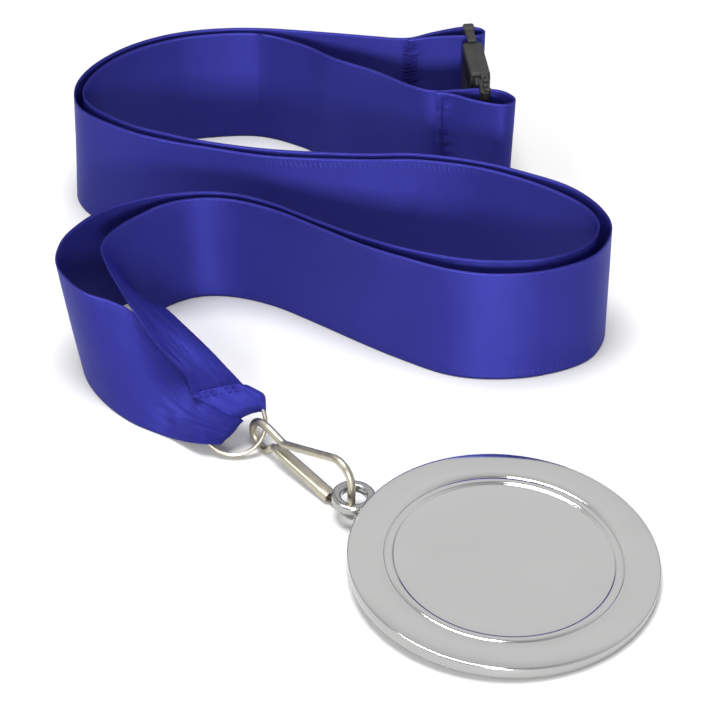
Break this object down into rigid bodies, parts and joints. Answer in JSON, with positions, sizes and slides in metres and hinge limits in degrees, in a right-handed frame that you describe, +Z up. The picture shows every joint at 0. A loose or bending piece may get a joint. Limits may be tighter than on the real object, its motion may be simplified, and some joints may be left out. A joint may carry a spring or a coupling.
{
  "type": "medal",
  "caption": "Round award medal with a raised rim and a plain middle, hung by a snap hook and split ring from a sewn neck ribbon with a breakaway buckle, laid down in folds",
  "frame": {"origin": "middle of the rectangle of floor that the object covers, on the floor", "axes": "+Z up, +Y from the medal towards the buckle behind the folds, +X to the right of someone who looks from the medal towards the buckle"},
  "size_m": [0.1292, 0.1895, 0.0312],
  "materials": {
    "medal": "mirror-bright plated casting",
    "wire": "warm nickel plate on spring wire",
    "ribbon": "royal blue woven satin",
    "thread": "blue polyester sewing thread",
    "buckle": "black moulded acetal"
  },
  "bodies": {
    "ribbon": {"socket_strand": "ribbon", "plug_strand": "ribbon", "ring_hem": "ribbon", "hem_stitches": "thread", "socket_loop_stitches": "thread", "buckle_socket": "buckle"},
    "ring": {"split_ring": "wire"},
    "hook": {"hook_wire": "wire"},
    "gate": {"hook_gate": "wire"},
    "medal": {"medal_disc": "medal"},
    "plug": {"buckle_plug": "buckle", "plug_loop": "ribbon", "plug_loop_stitches": "thread"}
  },
  "joints": [
    {"name": "ring_turn", "type": "hinge", "parent": "ribbon", "child": "ring", "pos_m": [-0.0251, -0.0229, 0.0061], "axis": [0, -0.766, 0.6428], "range_deg": [-40, 6]},
    {"name": "hook_swing", "type": "hinge", "parent": "ring", "child": "hook", "pos_m": [-0.0188, -0.02455, 0.00415], "axis": [0.375, 0.596, 0.71], "range_deg": [-60, 40]},
    {"name": "gate_flex", "type": "hinge", "parent": "hook", "child": "gate", "pos_m": [-0.01621, -0.0274, 0.0036], "axis": [-0.7408, -0.6717, 0], "range_deg": [0, 8], "stiffness_Nm_per_rad": 0.002},
    {"name": "medal_swing", "type": "hinge", "parent": "hook", "child": "medal", "pos_m": [0.00034, -0.04566, 0.007], "axis": [0, 0, 1], "range_deg": [-80, 35]},
    {"name": "plug_pull", "type": "slide", "parent": "ribbon", "child": "plug", "axis": [0.1513, -0.9885, 0], "range_m": [0, 0.006]}
  ]
}
